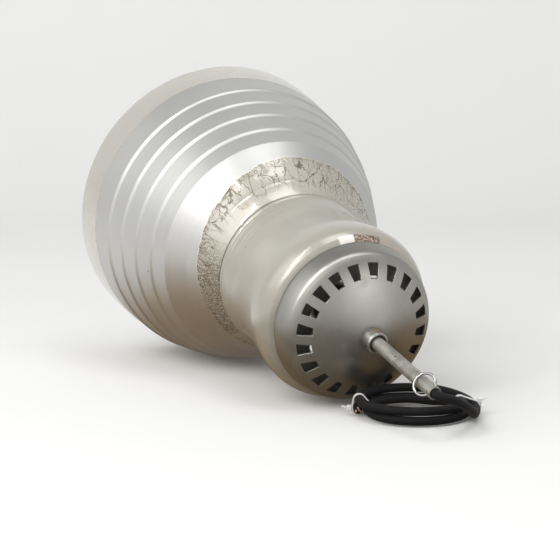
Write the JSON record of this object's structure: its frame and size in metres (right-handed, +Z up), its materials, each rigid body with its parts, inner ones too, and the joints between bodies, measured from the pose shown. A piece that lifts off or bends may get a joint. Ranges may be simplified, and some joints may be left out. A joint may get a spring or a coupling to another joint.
{
  "type": "pendant lamp",
  "caption": "Pendant lamp with a stepped mirrored-glass reflector, vented metal cap, tubular stem, hanging ring and coiled flex.",
  "frame": {"origin": "centre of the cross hole near the top of the stem, where the hanging ring passes through: the suspension point", "axes": "+Z up along the stem; the reflector opens towards -Z; X is the hanging ring's pivot axis; -Y is the side the ring is folded back to"},
  "size_m": [0.325, 0.325, 0.5778],
  "materials": {
    "silvered_glass": "mirrored glass, satin aluminium lacquer outside",
    "spun_aluminium": "spun and brushed, dulled with age",
    "rusted_steel": "rusted",
    "galvanised_tube": "dull galvanised",
    "chrome_wire": "bright plated",
    "textile_flex": "black braided sleeve over rubber",
    "white_nylon": "smooth",
    "copper": "bare stranded copper",
    "fibre": "compressed fibre",
    "zinc_steel": "zinc plated",
    "holder_brass": "plain",
    "porcelain": "white glazed",
    "core_brown": "smooth",
    "core_blue": "smooth",
    "core_green": "smooth",
    "bulb_envelope": "clear",
    "black_glass": "vitreous black",
    "tungsten": "drawn wire"
  },
  "bodies": {
    "fixture": {"reflector_glass": "silvered_glass", "stem_tube": "galvanised_tube", "supply_cable": "textile_flex", "cable_ties": "white_nylon", "flex_tail_cores": "copper", "glass_gasket": "fibre", "spider_pads": "fibre", "carrier_plate": "zinc_steel", "clamp_spider": "zinc_steel", "stem_locknuts": "zinc_steel", "stem_washers": "zinc_steel", "earth_screw": "zinc_steel", "holder_cap": "holder_brass", "holder_body": "porcelain", "holder_shell": "holder_brass", "holder_contact": "holder_brass", "holder_terminals": "holder_brass", "terminal_screws": "zinc_steel", "core_live": "core_brown", "core_neutral": "core_blue", "core_earth": "core_green"},
    "ring": {"hanging_ring": "chrome_wire"},
    "cap": {"vent_cap": "spun_aluminium", "cap_hub": "spun_aluminium", "hub_set_screw": "rusted_steel"},
    "bulb": {"bulb_glass": "bulb_envelope", "bulb_cap": "holder_brass", "bulb_insulator": "black_glass", "bulb_contact": "zinc_steel", "bulb_mount": "bulb_envelope", "bulb_filament": "tungsten", "bulb_support_wires": "tungsten"}
  },
  "joints": [
    {"name": "ring_swing", "type": "hinge", "parent": "fixture", "child": "ring", "pos_m": [0, 0, 0], "axis": [-1, 0, 0], "range_deg": [0, 157.6]},
    {"name": "cap_turn", "type": "hinge", "parent": "fixture", "child": "cap", "pos_m": [0, 0, -0.132], "axis": [0, 0, 1], "continuous": true},
    {"name": "bulb_withdraw", "type": "slide", "parent": "fixture", "child": "bulb", "axis": [0, 0, -1], "range_m": [0, 0.03], "stiffness_N_per_m": 700}
  ]
}
